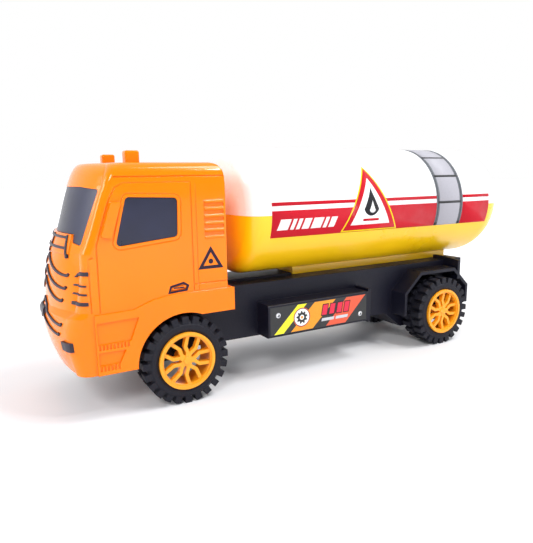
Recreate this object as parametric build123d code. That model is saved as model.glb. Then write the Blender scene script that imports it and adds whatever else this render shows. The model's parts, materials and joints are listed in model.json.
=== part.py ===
from build123d import *
from math import cos, pi, radians, sin, sqrt, tan
import os

# Toy tanker truck, millimetres, +Z up. The nose points to -X and the truck's left side to -Y.
# Lengths along X are measured from a station 105 mm behind the front axle; the whole model is moved at
# the end so that the origin is the bottom centre of its bounding box.

os.makedirs("parts", exist_ok=True)

# ---- driving dimensions -------------------------------------------------------------------------
front_axle_x = -105.0
wheelbase = 210.0
tyre_radius = 26.0
rim_radius = 17.0
wheel_outer_y = 46.75          # outer face of the rims
tyre_width = 18.5
tyre_setback = 1.2             # tyre wall behind the rim's face
axle_radius = 1.5
axle_overlap = 10.0            # axle length held in each rim

beam_half_width = 24.3
beam_top_z = 61.7
beam_front_x = -150.0
rear_overhang = 42.0           # beam behind the rear axle
wall = 2.0                     # wall of the black mouldings
shell_wall = 2.0               # wall of the cab and the tank

tank_radius = 42.0
tank_axis_z = 107.6
tank_seam_z = 106.6
tank_front_x = -62.0
tank_rear_x = 180.6
rear_crown_radius = 100.0
rear_knuckle_radius = 25.0
front_crown_radius = 200.0
front_knuckle_radius = 10.0
rail_half_width = 10.5
rail_front_x = -10.6
rail_rear_x = 142.0

cab_side_y = 43.4
cab_rear_x = -77.0
cab_bottom_z = 26.0
cab_top_z = 139.0
arch_clearance = 2.2           # wheel arch outside the tyre
skirt_rear_x = -73.0
skirt_bottom_z = 52.0
skirt_top_z = 65.5

box_front_x = -47.0
box_rear_x = 35.0
box_outer_y = 39.1
box_bottom_z = 27.4
box_top_z = 49.0

label_thickness = 0.15

running_clearance = 0.05       # radial, shafts in their bores
lid_clearance = 0.1            # around covers and glazing
screw_radius = 1.1
screw_head_radius = 2.3
screw_head_height = 1.5
screw_bite = 9.0               # depth of the pilot holes
screw_hole_clearance = 0.15    # radial, in the piece that a screw passes through
boss_radius = 3.2

gear_module = 0.6
gear_backlash = 0.2
drive_teeth = 30
idler_pinion_teeth = 10
idler_wheel_teeth = 30
flywheel_pinion_teeth = 9
idler_angle = 135.0            # direction from the rear axle to the idler, degrees
flywheel_angle = 145.0         # direction from the idler to the flywheel
flywheel_radius = 9.6
flywheel_width = 9.0
shaft_radius = 1.0

# ---- values worked out from them ----------------------------------------------------------------
axle_z = tyre_radius
rear_axle_x = front_axle_x + wheelbase
beam_rear_x = rear_axle_x + rear_overhang
arch_radius = tyre_radius + arch_clearance
tyre_outer_y = wheel_outer_y - tyre_setback
tyre_inner_y = tyre_outer_y - tyre_width
rail_bottom_z = beam_top_z
far = 400.0                    # beyond the truck in every direction, for cuts that go right through


# ---- helpers ------------------------------------------------------------------------------------
def box(x0, x1, y0, y1, z0, z1):
    """Block between two opposite corners."""
    return Pos((x0 + x1) / 2, (y0 + y1) / 2, (z0 + z1) / 2) * Box(x1 - x0, y1 - y0, z1 - z0)


def along_y(sketch, y0, y1):
    """Prism of an (x, z) sketch from y0 to y1."""
    return Pos(0, y0, 0) * extrude(Plane.XZ * sketch, y1 - y0, dir=(0, 1, 0))


def along_x(sketch, x0, x1):
    """Prism of a (y, z) sketch from x0 to x1."""
    return Pos(x0, 0, 0) * extrude(Plane.YZ * sketch, x1 - x0, dir=(1, 0, 0))


def rod_y(radius, x, z, y0, y1):
    """Round rod along Y."""
    return along_y(Pos(x, z) * Circle(radius), y0, y1)


def rod_z(radius, x, y, z0, z1):
    """Round rod along Z."""
    return Pos(x, y, (z0 + z1) / 2) * Cylinder(radius, z1 - z0)


def outline(*points):
    """Closed polygon that keeps its coordinates."""
    return Polygon(*points, align=None)


def box_face(u0, u1, v0, v1):
    """Rectangle between two opposite corners."""
    return Pos((u0 + u1) / 2, (v0 + v1) / 2) * Rectangle(u1 - u0, v1 - v0)


def grown(shape, amount):
    """The sketch offset outwards, or inwards when the amount is negative."""
    return offset(shape, amount)


def mirrored(shape):
    """The same piece on the truck's other side."""
    return mirror(shape, about=Plane.XZ)


parts = {}


# ---- wheels -------------------------------------------------------------------------------------
fork_count = 5
rim_wall = 1.9
lip_depth = 0.9                # step between the rim's face and its inner lip
lip_width = 0.8
fork_bar_width = 2.1
fork_setback = 1.5             # fork faces behind the rim's face
fork_thickness = 3.2
hub_radius = 3.3
hub_cap_radius = 2.2
hub_length = 13.0
axle_end_gap = 4.0             # solid hub cap over the axle's end
lug_count = 24
lug_height = 2.6
lug_angle = 8.6


def fork_sketch():
    """Five U-shaped spokes: each leaves the hub as a stem and meets the rim as two prongs."""
    inner_r = rim_radius - rim_wall
    half_path = ((1.0, 0.4), (4.6, 0.9), (7.7, 3.3), (inner_r + 0.4, 3.7))
    forks = Circle(hub_radius)
    for i in range(fork_count):
        for side in (-1, 1):
            bar = trace(Polyline(*[(r, side * w) for r, w in half_path]), fork_bar_width)
            forks += Rot(0, 0, i * 360.0 / fork_count) * bar
    forks &= Circle(inner_r + 0.4)
    return forks


def make_rim():
    """Rim about the Y axis on the -Y side, its face towards -Y."""
    face = -wheel_outer_y
    inner_r = rim_radius - rim_wall
    barrel = Circle(rim_radius) - Circle(inner_r)
    rim = along_y(barrel, face, -tyre_inner_y - 2.0)
    lip = Circle(inner_r + 0.4) - Circle(inner_r - lip_width)
    rim += along_y(lip, face + lip_depth, face + lip_depth + 3.0)
    fork_face = face + fork_setback
    rim += along_y(fork_sketch(), fork_face, fork_face + fork_thickness)
    rim += along_y(Circle(hub_radius), fork_face + 0.2, fork_face + hub_length)
    rim += along_y(Circle(hub_cap_radius), fork_face - 0.5, fork_face + 1.0)
    rim -= along_y(Circle(axle_radius), face + axle_end_gap, 0)
    return rim


def make_tyre():
    """Tyre about the Y axis on the -Y side, with staggered shoulder lugs."""
    body_r = tyre_radius - lug_height
    y0, y1 = -tyre_outer_y, -tyre_inner_y
    shoulder = 2.2
    section = outline((rim_radius, y0 + 0.6), (rim_radius + 1.6, y0), (body_r - shoulder, y0),
                      (body_r, y0 + shoulder), (body_r, y1 - shoulder), (body_r - shoulder, y1),
                      (rim_radius, y1))
    tyre = revolve(section, Axis.Y)
    lugs = []
    half = tyre_width / 2
    for side, phase in ((0, 0.0), (1, 0.5)):
        a0 = y0 if side == 0 else y1 - half * 0.86
        a1 = y0 + half * 0.86 if side == 0 else y1
        for i in range(lug_count):
            angle = (i + phase) * 360.0 / lug_count - 90.0
            width = 2 * tyre_radius * tan(radians(lug_angle / 2))
            lug = box(body_r - 3.4, tyre_radius + 1, a0 + 0.35, a1 - 0.35, -width / 2, width / 2)
            lugs.append(Rot(0, -angle, 0) * lug)
    block = Part() + lugs
    block &= along_y(Circle(tyre_radius), y0, y1)
    return tyre + block


rim_blank = make_rim()
tyre_blank = make_tyre()
for axle_name, axle_x in (("front", front_axle_x), ("rear", rear_axle_x)):
    left_rim = Pos(axle_x, 0, axle_z) * rim_blank
    left_tyre = Pos(axle_x, 0, axle_z) * tyre_blank
    parts[f"rim_{axle_name}_left"] = left_rim
    parts[f"rim_{axle_name}_right"] = mirrored(left_rim)
    parts[f"tyre_{axle_name}_left"] = left_tyre
    parts[f"tyre_{axle_name}_right"] = mirrored(left_tyre)
    axle_end = wheel_outer_y - axle_end_gap
    parts[f"{axle_name}_axle"] = rod_y(axle_radius, axle_x, axle_z, -axle_end, axle_end)


# ---- friction motor -----------------------------------------------------------------------------
def gear(teeth, x, z, y0, y1, phase):
    """Spur gear with straight-flanked teeth; one tooth is centred on the angle phase (degrees)."""
    pitch_r = gear_module * teeth / 2
    tip_r = pitch_r + 0.85 * gear_module
    root_r = pitch_r - 1.2 * gear_module
    pitch_half = (pi * gear_module / 2 - gear_backlash) / 2
    tip_half = pitch_half - 0.85 * gear_module * tan(radians(20))
    root_half = pitch_half + 1.0 * gear_module * tan(radians(14))
    points = []
    for i in range(teeth):
        centre = radians(phase) + 2 * pi * i / teeth
        for radius, half in ((root_r, -root_half), (tip_r, -tip_half), (tip_r, tip_half),
                             (root_r, root_half)):
            a = centre + half / radius
            points.append((x + radius * cos(a), z + radius * sin(a)))
    return along_y(outline(*points), y0, y1)


def polar(x, z, radius, angle):
    """Point at a distance and direction in the XZ plane."""
    return x + radius * cos(radians(angle)), z + radius * sin(radians(angle))


idler_distance = gear_module * (drive_teeth + idler_pinion_teeth) / 2
flywheel_distance = gear_module * (idler_wheel_teeth + flywheel_pinion_teeth) / 2
idler_x, idler_z = polar(rear_axle_x, axle_z, idler_distance, idler_angle)
flywheel_x, flywheel_z = polar(idler_x, idler_z, flywheel_distance, flywheel_angle)
gear_width = 3.0
drive_y = 8.0                  # start of the gear on the axle
step_y = 3.2                   # start of the idler's large wheel
flywheel_gap = 1.2             # between the flywheel and the idler's large wheel
case_half_width = 13.0
case_wall = 1.6
case_gap = 0.5

drive_gear = gear(drive_teeth, rear_axle_x, axle_z, drive_y, drive_y + gear_width, idler_angle)
drive_gear += rod_y(2.2, rear_axle_x, axle_z, drive_y - 5.0, drive_y)
drive_gear -= rod_y(axle_radius, rear_axle_x, axle_z, -far, far)
parts["drive_gear"] = drive_gear

idler_pinion_phase = idler_angle + 180 + 180.0 / idler_pinion_teeth
idler = gear(idler_pinion_teeth, idler_x, idler_z, step_y, drive_y + gear_width, idler_pinion_phase)
idler += gear(idler_wheel_teeth, idler_x, idler_z, step_y, step_y + gear_width, flywheel_angle)
idler -= rod_y(shaft_radius + running_clearance, idler_x, idler_z, -far, far)
parts["idler_gear"] = idler
shaft_end = case_half_width - 0.4
parts["idler_shaft"] = rod_y(shaft_radius, idler_x, idler_z, -shaft_end, shaft_end)

flywheel_phase = flywheel_angle + 180 + 180.0 / flywheel_pinion_teeth
flywheel = rod_y(flywheel_radius, flywheel_x, flywheel_z, step_y - flywheel_gap - flywheel_width,
                 step_y - flywheel_gap)
flywheel += gear(flywheel_pinion_teeth, flywheel_x, flywheel_z, step_y - flywheel_gap, step_y + gear_width,
                 flywheel_phase)
flywheel -= rod_y(shaft_radius + running_clearance, flywheel_x, flywheel_z, -far, far)
parts["flywheel"] = flywheel
parts["flywheel_shaft"] = rod_y(shaft_radius, flywheel_x, flywheel_z, -shaft_end, shaft_end)

case_front_x = flywheel_x - flywheel_radius - case_gap - case_wall
case_rear_x = rear_axle_x + gear_module * drive_teeth / 2 + gear_module + case_gap + case_wall
case_bottom_z = axle_z - gear_module * drive_teeth / 2 - gear_module - case_gap / 2 - case_wall
case_top_z = flywheel_z + flywheel_radius + case_gap + case_wall
case_low_x = flywheel_x - 1.0


def case_outline(inset):
    """Side view of the motor case: a box with its lower front corner cut away."""
    return outline((case_front_x + inset, case_top_z - inset), (case_front_x + inset, flywheel_z - 9.0),
                   (case_low_x + inset, case_bottom_z + inset), (case_rear_x - inset, case_bottom_z + inset),
                   (case_rear_x - inset, case_top_z - inset))


motor_screw_x = case_rear_x - 3.9
motor_screw_z = case_top_z - 3.9
motor_case = along_y(case_outline(0), -case_half_width, case_half_width)
motor_case -= along_y(case_outline(case_wall), -case_half_width + case_wall, case_half_width - case_wall)
motor_case += rod_y(boss_radius - 0.6, motor_screw_x, motor_screw_z, -case_half_width, case_half_width)
motor_case -= rod_y(screw_radius, motor_screw_x, motor_screw_z, -case_half_width + 2.0, case_half_width + 1)
motor_case -= rod_y(axle_radius + running_clearance, rear_axle_x, axle_z, -far, far)
for sx, sz in ((idler_x, idler_z), (flywheel_x, flywheel_z)):
    motor_case -= rod_y(shaft_radius + running_clearance, sx, sz, -shaft_end - 0.1, shaft_end + 0.1)
case_split_y = 1.0
parts["motor_case_left"] = motor_case & box(-far, far, -far, case_split_y, -far, far)
parts["motor_case_right"] = motor_case & box(-far, far, case_split_y, far, -far, far)


def screw(x, y, z, axis_rotation, shank):
    """Pan-head screw with its head's underside at the given point, shank along +Z before turning."""
    body = Pos(0, 0, shank / 2) * Cylinder(screw_radius, shank)
    body += Pos(0, 0, -screw_head_height / 2) * Cylinder(screw_head_radius, screw_head_height)
    slot = Box(screw_head_radius * 1.3, 0.5, 0.7)
    cross = slot + Rot(0, 0, 90) * slot
    body -= Pos(0, 0, -screw_head_height + 0.35) * cross
    return Pos(x, y, z) * axis_rotation * body


parts["motor_screw"] = screw(motor_screw_x, case_half_width, motor_screw_z, Rot(90, 0, 0),
                             2 * case_half_width - 2.6)


# ---- tank ---------------------------------------------------------------------------------------
def tank_body(inset):
    """Solid of revolution about the tank's axis: a cylinder with a knuckled dome at each end."""
    radius = tank_radius - inset
    front = tank_front_x + inset
    rear = tank_rear_x - inset
    front_r = front_knuckle_radius - inset
    rear_r = rear_knuckle_radius - inset
    front_crown = front_crown_radius - inset
    rear_crown = rear_crown_radius - inset
    front_centre = front + front_crown
    rear_centre = rear - rear_crown
    front_tangent = front_centre - sqrt((front_crown - front_r) ** 2 - (radius - front_r) ** 2)
    rear_tangent = rear_centre + sqrt((rear_crown - rear_r) ** 2 - (radius - rear_r) ** 2)
    front_join = _on_line(front_centre, 0, front_tangent, radius - front_r, front_crown)
    rear_join = _on_line(rear_centre, 0, rear_tangent, radius - rear_r, rear_crown)
    front_mid = _bisect(front_tangent, radius - front_r, front_r, front_join, (front_tangent, radius))
    rear_mid = _bisect(rear_tangent, radius - rear_r, rear_r, rear_join, (rear_tangent, radius))
    front_half = _bisect(front_centre, 0, front_crown, front_join, (front, 0))
    rear_half = _bisect(rear_centre, 0, rear_crown, rear_join, (rear, 0))
    edges = [
        Edge.make_three_point_arc((front, 0, 0), (*front_half, 0), (*front_join, 0)),
        Edge.make_three_point_arc((*front_join, 0), (*front_mid, 0), (front_tangent, radius, 0)),
        Edge.make_line((front_tangent, radius, 0), (rear_tangent, radius, 0)),
        Edge.make_three_point_arc((rear_tangent, radius, 0), (*rear_mid, 0), (*rear_join, 0)),
        Edge.make_three_point_arc((*rear_join, 0), (*rear_half, 0), (rear, 0, 0)),
        Edge.make_line((rear, 0, 0), (front, 0, 0)),
    ]
    return Pos(0, 0, tank_axis_z) * revolve(Face(Wire(edges)), Axis.X)


def _on_line(cx, cy, px, py, distance):
    """Point at a distance from (cx, cy) towards and past (px, py)."""
    length = sqrt((px - cx) ** 2 + (py - cy) ** 2)
    return cx + (px - cx) * distance / length, cy + (py - cy) * distance / length


def _bisect(cx, cy, radius, a, b):
    """Point of the arc about (cx, cy) halfway between a and b."""
    ax, ay = a[0] - cx, a[1] - cy
    bx, by = b[0] - cx, b[1] - cy
    mx, my = ax / radius + bx / radius, ay / radius + by / radius
    length = sqrt(mx * mx + my * my)
    return cx + mx * radius / length, cy + my * radius / length


tank_outer = tank_body(0)
tank_inner = tank_body(shell_wall)
tank_shell = tank_outer - tank_inner
above_seam = box(-far, far, -far, far, tank_seam_z, far)
below_seam = box(-far, far, -far, far, -far, tank_seam_z)
lip_height = 3.0
lip_thickness = 1.2
lip = tank_body(shell_wall + lid_clearance) - tank_body(shell_wall + lid_clearance + lip_thickness)
lip &= box(-far, far, -far, far, tank_seam_z - lip_height, tank_seam_z + 1.6)
lip_root = tank_body(shell_wall - 0.3) - tank_body(shell_wall + lid_clearance + lip_thickness)
lip_root &= box(-far, far, -far, far, tank_seam_z + 0.2, tank_seam_z + 1.6)
parts["tank_upper_shell"] = (tank_shell & above_seam) + lip_root + lip

tank_screw_xs = (rail_front_x + 22.0, rail_rear_x - 18.0)
tank_lower = tank_shell & below_seam
rail_root = 4.0                # rail height inside the tank's circle
rail = box(rail_front_x, rail_rear_x, -rail_half_width, rail_half_width, rail_bottom_z,
           tank_axis_z - tank_radius + rail_root)
tank_lower += rail - tank_inner
for sx in tank_screw_xs:
    tank_lower += rod_z(boss_radius, sx, 0, rail_bottom_z, rail_bottom_z + 12.0)
for sx in tank_screw_xs:
    tank_lower -= rod_z(screw_radius, sx, 0, rail_bottom_z - 1, rail_bottom_z + screw_bite)
parts["tank_lower_shell"] = tank_lower


# ---- chassis ------------------------------------------------------------------------------------
axle_lug_z = axle_z - 5.5
cover_thickness = 1.8
housing_bottom_z = case_bottom_z - cover_thickness - 0.05
beam_bottom_z = 26.5


def beam_outline(inset):
    """Side view of the box beam: straight, with a lug at the front axle and the motor housing behind."""
    return outline(
        (beam_front_x + inset, beam_top_z - inset), (beam_front_x + inset, beam_bottom_z + inset),
        (front_axle_x - 15, beam_bottom_z + inset), (front_axle_x - 8, axle_lug_z + inset),
        (front_axle_x + 8, axle_lug_z + inset), (front_axle_x + 15, beam_bottom_z + inset),
        (rear_axle_x - 40, beam_bottom_z - 1.3 + inset), (rear_axle_x - 24, housing_bottom_z + inset),
        (rear_axle_x + 18, housing_bottom_z + inset), (rear_axle_x + 33, beam_bottom_z + inset),
        (beam_rear_x - inset, beam_bottom_z + 5 + inset), (beam_rear_x - inset, beam_top_z - inset))


def cover_outline(top_inset, bottom_inset):
    """Band along the beam's open underside, between two insets."""
    low = bottom_inset
    high = top_inset
    lower = [(beam_front_x + wall + lid_clearance, beam_bottom_z + low),
             (front_axle_x - 15, beam_bottom_z + low),
             (front_axle_x - 8, axle_lug_z + low), (front_axle_x + 8, axle_lug_z + low),
             (front_axle_x + 15, beam_bottom_z + low), (rear_axle_x - 40, beam_bottom_z - 1.3 + low),
             (rear_axle_x - 24, housing_bottom_z + low), (rear_axle_x + 18, housing_bottom_z + low),
             (rear_axle_x + 33, beam_bottom_z + low),
             (beam_rear_x - wall - lid_clearance, beam_bottom_z + 4.2 + low)]
    upper = [(x, z + high - low) for x, z in reversed(lower)]
    return outline(*lower, *upper)


def cover_z(x):
    """Height of the beam's straight underside at x."""
    start, end = front_axle_x + 15, rear_axle_x - 40
    share = min(1.0, max(0.0, (x - start) / (end - start)))
    return beam_bottom_z - 1.3 * share


beam = along_y(beam_outline(0), -beam_half_width, beam_half_width)
hollow_half = beam_half_width - wall
cavity = along_y(beam_outline(wall), -hollow_half, hollow_half)
underside = along_y(cover_outline(wall + 1.0, -20.0), -hollow_half, hollow_half)
underside &= box(beam_front_x + wall, beam_rear_x - wall, -hollow_half, hollow_half, -50, beam_top_z - wall)
beam = beam - cavity - underside

# cross ribs stiffen the beam and stop above the cover
rib_half_thickness = 0.8
rib_xs = [front_axle_x + step for step in (-19.0, 8.0, 49.0, 79.0, 109.0, 139.0)]
rib_floor_z = beam_bottom_z + cover_thickness + 1.0
for rx in rib_xs:
    beam += box(rx - rib_half_thickness, rx + rib_half_thickness, -hollow_half, hollow_half, rib_floor_z,
                beam_top_z - wall)

# side boxes, open below between ribs
box_ribs = 4
for side in (-1, 1):
    y_in, y_out = side * (beam_half_width - 0.5), side * box_outer_y
    y0, y1 = min(y_in, y_out), max(y_in, y_out)
    side_box = box(box_front_x, box_rear_x, y0, y1, box_bottom_z, box_top_z)
    if side < 0:
        edges = side_box.edges().filter_by(Axis.X).sort_by(Axis.Y)[:2]
    else:
        edges = side_box.edges().filter_by(Axis.X).sort_by(Axis.Y)[-2:]
    side_box = fillet(edges, 1.0)
    pitch = (box_rear_x - box_front_x - wall) / box_ribs
    for i in range(box_ribs):
        x0 = box_front_x + wall + i * pitch
        cell_y0 = beam_half_width if side > 0 else -box_outer_y + wall
        cell_y1 = box_outer_y - wall if side > 0 else -beam_half_width
        side_box -= box(x0, x0 + pitch - wall, cell_y0, cell_y1, box_bottom_z - 1, box_top_z - wall)
    beam += side_box
    flange_top = box_top_z + 1.6
    beam += box(box_rear_x, box_rear_x + 2.4, y0, y1, box_bottom_z - 0.8, flange_top)

# rear mudguards: a six-sided hoop each side, tied to the beam
guard_half = 34.0
guard_shoulder_z = 42.5
guard_top_half = 18.3
guard_top_z = 57.3
guard_front_low_z = 25.0
guard_rear_low_z = 28.0
guard_thickness = 2.4


def guard_outline(inset, low):
    """Side view of the mudguard hoop, inset from its outer face, down to z = low at its ends."""
    x = rear_axle_x
    return outline(
        (x - guard_half + inset, low), (x - guard_half + inset, guard_shoulder_z - inset * 0.4),
        (x - guard_top_half + inset * 0.4, guard_top_z - inset),
        (x + guard_top_half - inset * 0.4, guard_top_z - inset),
        (x + guard_half - inset, guard_shoulder_z - inset * 0.4), (x + guard_half - inset, low))


guard_depth = box_outer_y
hoop = along_y(guard_outline(0, guard_front_low_z), beam_half_width - 0.5, guard_depth)
hoop -= along_y(guard_outline(guard_thickness, 0), 0, 60)
hoop -= box(rear_axle_x + 10, rear_axle_x + 60, 0, 60, 0, guard_rear_low_z)
tread_rib_pitch = 1.4
tread_rib_half_width = 0.35
tread_rib_height = 0.5
rib_total = int(2 * guard_top_half / tread_rib_pitch)
for i in range(rib_total):
    rx = rear_axle_x - guard_top_half + (i + 0.5) * tread_rib_pitch
    hoop += box(rx - tread_rib_half_width, rx + tread_rib_half_width, beam_half_width, guard_depth - 2.2,
                guard_top_z, guard_top_z + tread_rib_height)
wing_x = rear_axle_x + guard_top_half + 3.4
wing_inner_y = rail_half_width + 2.5
wing_low_z = 48.0
wing_top_z = beam_top_z + 2.7
wing_thickness = 2.2
wing_root_y = beam_half_width - 0.5
wing_slope = 1.6               # drop of its top edge towards the outside
wing_shape = outline(
    (wing_inner_y, beam_top_z - 1), (wing_root_y, beam_top_z - 1), (wing_root_y, wing_low_z),
    (guard_depth, wing_low_z), (guard_depth, wing_top_z - wing_slope), (beam_half_width, wing_top_z),
    (wing_inner_y, wing_top_z))
wing = along_x(wing_shape, wing_x, wing_x + wing_thickness)
hoop += wing
beam += hoop + mirrored(hoop)

# deck details: a low pad behind the cab and a tail step
deck_pad_height = 1.6
beam += box(cab_rear_x + 2.5, rail_front_x - 2.0, -12.0, 12.0, beam_top_z - 0.5, beam_top_z + deck_pad_height)

# screw bosses
cab_screw_xs = (front_axle_x - 37.0, front_axle_x + 17.0)
base_screw_xs = (front_axle_x - 29.0, front_axle_x + 35.0, front_axle_x + 125.0, front_axle_x + 161.0)
for bx in base_screw_xs:
    beam += rod_z(boss_radius, bx, 0, rib_floor_z + 0.2, beam_top_z - 1)
    beam -= rod_z(screw_radius, bx, 0, rib_floor_z - 1, rib_floor_z + screw_bite)
for sx in tank_screw_xs:
    beam -= rod_z(screw_radius + screw_hole_clearance, sx, 0, beam_top_z - wall - 1,
                  beam_top_z + 3)

# axle bores
for ax in (front_axle_x, rear_axle_x):
    beam -= rod_y(axle_radius + running_clearance, ax, axle_z, -60, 60)
parts["chassis_frame"] = beam

cover_half = hollow_half - lid_clearance
cover = along_y(cover_outline(cover_thickness, 0.0), -cover_half, cover_half)
for bx in base_screw_xs:
    cover += rod_z(boss_radius, bx, 0, cover_z(bx) + 0.9, rib_floor_z + 0.2)
    cover -= rod_z(screw_radius + screw_hole_clearance, bx, 0, 0, beam_top_z)
    cover -= rod_z(screw_head_radius + 0.3, bx, 0, 0, cover_z(bx) + 0.8)
parts["base_plate"] = cover
base_screws = Part()
for bx in base_screw_xs:
    base_screws += screw(bx, 0, cover_z(bx) + 0.8, Rot(0, 0, 0), 9.5)
parts["base_screws"] = base_screws
tank_screws = Part()
for sx in tank_screw_xs:
    tank_screws += screw(sx, 0, beam_top_z - wall, Rot(0, 0, 0), 9.0)
parts["tank_screws"] = tank_screws


# ---- cab ----------------------------------------------------------------------------------------
# Plan sections of the cab, bottom to top: height, nose at the centre plane, cheek point (x, half y)
# where the nose meets the corner round, start of the flat side, half width, rear wall.
bumper_sections = (
    (26.0, -168.0, -164.6, 33.0, -156.5, 43.0, cab_rear_x),
    (36.0, -171.8, -167.3, 33.5, -157.0, 43.4, cab_rear_x),
    (47.0, -174.1, -168.9, 34.0, -157.3, 43.4, cab_rear_x),
    (58.0, -174.4, -167.6, 34.5, -157.3, 43.4, cab_rear_x),
)
ledge_sections = (
    (58.0, -174.4, -167.6, 34.5, -157.3, 43.4, cab_rear_x),
    (61.0, -172.9, -163.2, 35.5, -155.6, 43.4, cab_rear_x),
)
grille_sections = (
    (61.0, -172.9, -163.2, 35.5, -155.6, 43.4, cab_rear_x),
    (70.0, -171.8, -161.0, 36.0, -155.2, 43.4, cab_rear_x),
    (81.0, -170.2, -159.2, 36.0, -154.6, 43.4, cab_rear_x),
    (92.0, -167.2, -158.6, 35.5, -153.6, 43.4, cab_rear_x),
)
screen_sections = (
    (92.0, -167.2, -158.6, 35.5, -153.6, 43.4, cab_rear_x),
    (97.0, -165.0, -156.4, 36.8, -151.8, 43.4, cab_rear_x),
    (113.5, -159.8, -150.4, 37.6, -146.6, 43.4, cab_rear_x),
    (127.0, -155.4, -145.4, 37.8, -141.6, 43.2, cab_rear_x),
)
roof_sections = (
    (127.0, -155.4, -145.4, 37.8, -141.6, 43.2, cab_rear_x),
    (131.5, -153.6, -143.8, 36.8, -139.8, 42.9, cab_rear_x - 0.3),
    (135.2, -151.8, -142.2, 35.0, -137.4, 41.8, cab_rear_x - 1.3),
    (137.8, -149.8, -140.6, 30.5, -134.4, 39.4, cab_rear_x - 3.6),
    (139.0, -147.0, -136.0, 26.5, -129.0, 35.4, cab_rear_x - 8.0),
)


def cab_wire(section, inset, lift):
    """Closed plan outline of one section."""
    z, nose, cheek_x, cheek_y, corner_x, side_y, rear = section
    z += lift
    nose += inset
    cheek_x += inset
    cheek_y -= inset * 0.35
    corner_x += inset * 0.35
    side_y -= inset
    rear -= inset
    return Wire([
        Edge.make_line((rear, -side_y, z), (corner_x, -side_y, z)),
        Edge.make_tangent_arc((corner_x, -side_y, z), (-1, 0, 0), (cheek_x, -cheek_y, z)),
        Edge.make_three_point_arc((cheek_x, -cheek_y, z), (nose, 0, z), (cheek_x, cheek_y, z)),
        Edge.make_tangent_arc((corner_x, side_y, z), (-1, 0, 0), (cheek_x, cheek_y, z)),
        Edge.make_line((corner_x, side_y, z), (rear, side_y, z)),
        Edge.make_line((rear, side_y, z), (rear, -side_y, z)),
    ])


def cab_block(inset, top_drop, bottom_drop):
    """Solid cab, inset on all sides; its top is lowered and its bottom lowered by the given amounts."""
    block = None
    for sections in (bumper_sections, ledge_sections, grille_sections, screen_sections, roof_sections):
        wires = []
        for section in sections:
            lift = -top_drop if sections is roof_sections and section is not roof_sections[0] else 0
            if sections is bumper_sections and section is bumper_sections[0]:
                lift = -bottom_drop
            wires.append(cab_wire(section, inset, lift))
        piece = Solid.make_loft(wires, len(wires) == 2)
        block = piece if block is None else block + piece
    return block


cab_outer = cab_block(0, 0, 0)
cab_inner = cab_block(shell_wall, shell_wall, 1.0)
glass_outer = cab_block(0.5, 0.5, 0)
glass_back = cab_block(shell_wall + 1.2, shell_wall + 1.2, 0)

# windscreen and side windows
cowl_half = 25.6               # raised block below the windscreen
cowl_top_z = 101.3
screen_shape = outline((35.0, 95.6), (36.6, 125.0), (20.0, 126.4), (-20.0, 126.4), (-36.6, 125.0),
                       (-35.0, 95.6), (-cowl_half - 1.2, 97.0), (-cowl_half + 0.2, cowl_top_z),
                       (cowl_half - 0.2, cowl_top_z), (cowl_half + 1.2, 97.0))
screen_shape = fillet(screen_shape.vertices(), 1.6)
side_shape = outline((-134.7, 120.8), (-106.1, 119.7), (-106.8, 98.3), (-141.5, 94.8))
side_shape = fillet(side_shape.vertices(), 2.2)
screen_hole = along_x(screen_shape, -180, -140)
side_hole = along_y(side_shape, -60, 60)

cab = cab_outer - cab_inner - screen_hole - side_hole

# wheel arches and the cut over the chassis beam
arch = rod_y(arch_radius, front_axle_x, axle_z, -60, 60)
arch_tail = box(front_axle_x, cab_rear_x + 8, -60, 60, 0, skirt_bottom_z)
beam_slot = box(-120, cab_rear_x + 8, -beam_half_width - 0.3, beam_half_width + 0.3, 0,
                beam_top_z + deck_pad_height + 0.3)
cab = cab - arch - arch_tail - beam_slot
for side in (-1, 1):
    y_in, y_out = side * (cab_side_y - 9.0), side * cab_side_y
    y0, y1 = min(y_in, y_out), max(y_in, y_out)
    cab += box(cab_rear_x - 1.5, skirt_rear_x, y0, y1, skirt_bottom_z, skirt_top_z)

# raised flare over the arch and along the skirt
flare_proud = 0.9
flare_shape = outline((-155.0, 59.6), (-134.0, 60.0), (-123.0, 64.2), (-112.0, 65.8), (skirt_rear_x, 65.8),
                      (skirt_rear_x, 0), (-155.0, 0))
flare_region = box(-170, skirt_rear_x, -60, 60, cab_bottom_z, 70)
flare_cuts = arch + box(front_axle_x, 0, -60, 60, 0, skirt_bottom_z)
for side in (-1, 1):
    y_in, y_out = side * (cab_side_y - 0.5), side * (cab_side_y + flare_proud)
    cab += (along_y(flare_shape, min(y_in, y_out), max(y_in, y_out)) & flare_region) - flare_cuts

# seams, louvres, handle and steps cut into both sides
seam_width = 0.55
seam_depth = 0.45


def side_cut(sketch, depth, proud=0.0):
    """Cut of the given depth below the side face, on both sides of the cab."""
    surface = cab_side_y + proud
    return along_y(sketch, -surface - 2, -surface + depth) + along_y(sketch, surface - depth, surface + 2)


def seam(*points):
    """Narrow groove along a line of points."""
    return trace(Polyline(*points), seam_width)


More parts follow.
